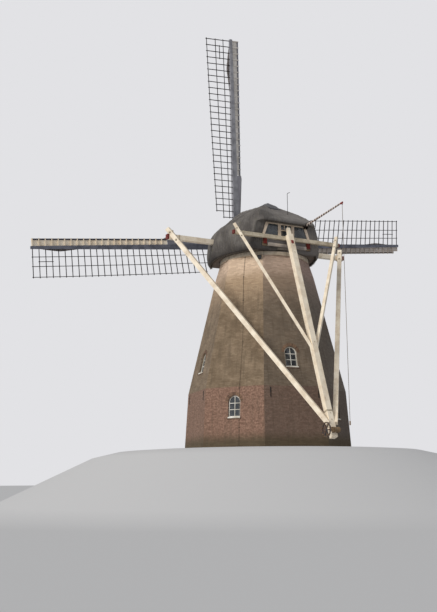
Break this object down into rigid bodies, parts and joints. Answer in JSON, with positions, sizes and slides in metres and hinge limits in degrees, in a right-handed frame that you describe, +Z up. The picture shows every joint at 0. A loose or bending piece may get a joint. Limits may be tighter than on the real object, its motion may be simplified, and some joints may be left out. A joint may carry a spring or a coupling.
{
  "type": "traditional windmill",
  "caption": "Mound windmill: eight-sided tapering brick tower, turning thatched cap with tail pole and braces, lattice sails on an inclined shaft, brake lever with rope.",
  "frame": {"origin": "on the tower's axis at ground level, where the brick walls meet the ground", "axes": "+Z up, -Y towards the sails, +Y towards the tail pole, +X along the cap's spruits"},
  "size_m": [24.8504, 12.8461, 24.6675],
  "materials": {
    "brick": "rough",
    "floor_slab": "rough",
    "floor_boards": "satin",
    "bare_timber": "rough",
    "painted_timber": "satin",
    "white_paint": "satin",
    "dark_green_paint": "satin",
    "weathered_board": "rough",
    "lattice_wood": "rough",
    "stock_grey": "satin",
    "thatch": "rough",
    "sailcloth": "rough",
    "rope": "rough",
    "lead_grey": "satin",
    "iron": "satin",
    "cast_iron": "satin",
    "window_glass": "gloss"
  },
  "bodies": {
    "tower": {"ground_floor": "floor_slab", "tower_wall_1": "brick", "tower_wall_2": "brick", "tower_wall_3": "brick", "tower_wall_4": "brick", "tower_wall_5": "brick", "tower_wall_6": "brick", "tower_wall_7": "brick", "tower_wall_8": "brick", "upper_floor": "floor_boards", "top_floor": "floor_boards", "tower_ring": "painted_timber", "window_frames": "white_paint", "window_glass": "window_glass", "window_sills": "white_paint", "door_frame": "painted_timber", "plank_door": "dark_green_paint", "wall_anchors": "iron"},
    "cap": {"cap_ring": "painted_timber", "sliding_blocks": "bare_timber", "sheer_beams": "bare_timber", "shaft_beams": "bare_timber", "spruit_seats": "bare_timber", "long_spruit": "painted_timber", "short_spruit": "painted_timber", "cap_thatch_1": "thatch", "cap_thatch_2": "thatch", "cap_thatch_3": "thatch", "cap_thatch_4": "thatch", "ridge_cover": "lead_grey", "rear_window_frame": "painted_timber", "rear_window_glass": "window_glass", "rear_board": "weathered_board", "front_boards": "dark_green_paint", "tail_pole": "painted_timber", "long_braces": "painted_timber", "short_braces": "painted_timber", "tail_winch": "painted_timber", "hip_rod": "iron", "lever_bracket": "iron"},
    "sails": {"windshaft": "cast_iron", "front_stock": "stock_grey", "rear_stock": "stock_grey", "sail_lattice_1": "lattice_wood", "sail_lattice_2": "lattice_wood", "sail_lattice_3": "lattice_wood", "sail_lattice_4": "lattice_wood", "leading_boards": "weathered_board", "furled_cloths": "sailcloth"},
    "brake_lever": {"brake_lever": "painted_timber"},
    "brake_rope": {"rope_eye": "iron", "brake_rope": "rope", "rope_handle": "bare_timber"}
  },
  "joints": [
    {"name": "cap_turn", "type": "hinge", "parent": "tower", "child": "cap", "pos_m": [0, 0, 10.65], "axis": [0, 0, 1], "continuous": true},
    {"name": "sails_turn", "type": "hinge", "parent": "cap", "child": "sails", "pos_m": [0, -3.611, 12.484], "axis": [0, -0.9827, 0.1852], "continuous": true},
    {"name": "lever_tilt", "type": "hinge", "parent": "cap", "child": "brake_lever", "pos_m": [-1.2, 2.66, 12.272], "axis": [1, 0, 0], "range_deg": [-10, 0]},
    {"name": "rope_hang", "type": "hinge", "parent": "brake_lever", "child": "brake_rope", "pos_m": [-1.2, 6.148, 12.48], "axis": [1, 0, 0], "range_deg": [0, 10]}
  ],
  "couplings": [
    {"joint": "rope_hang", "follows": "lever_tilt", "ratio": -1}
  ]
}
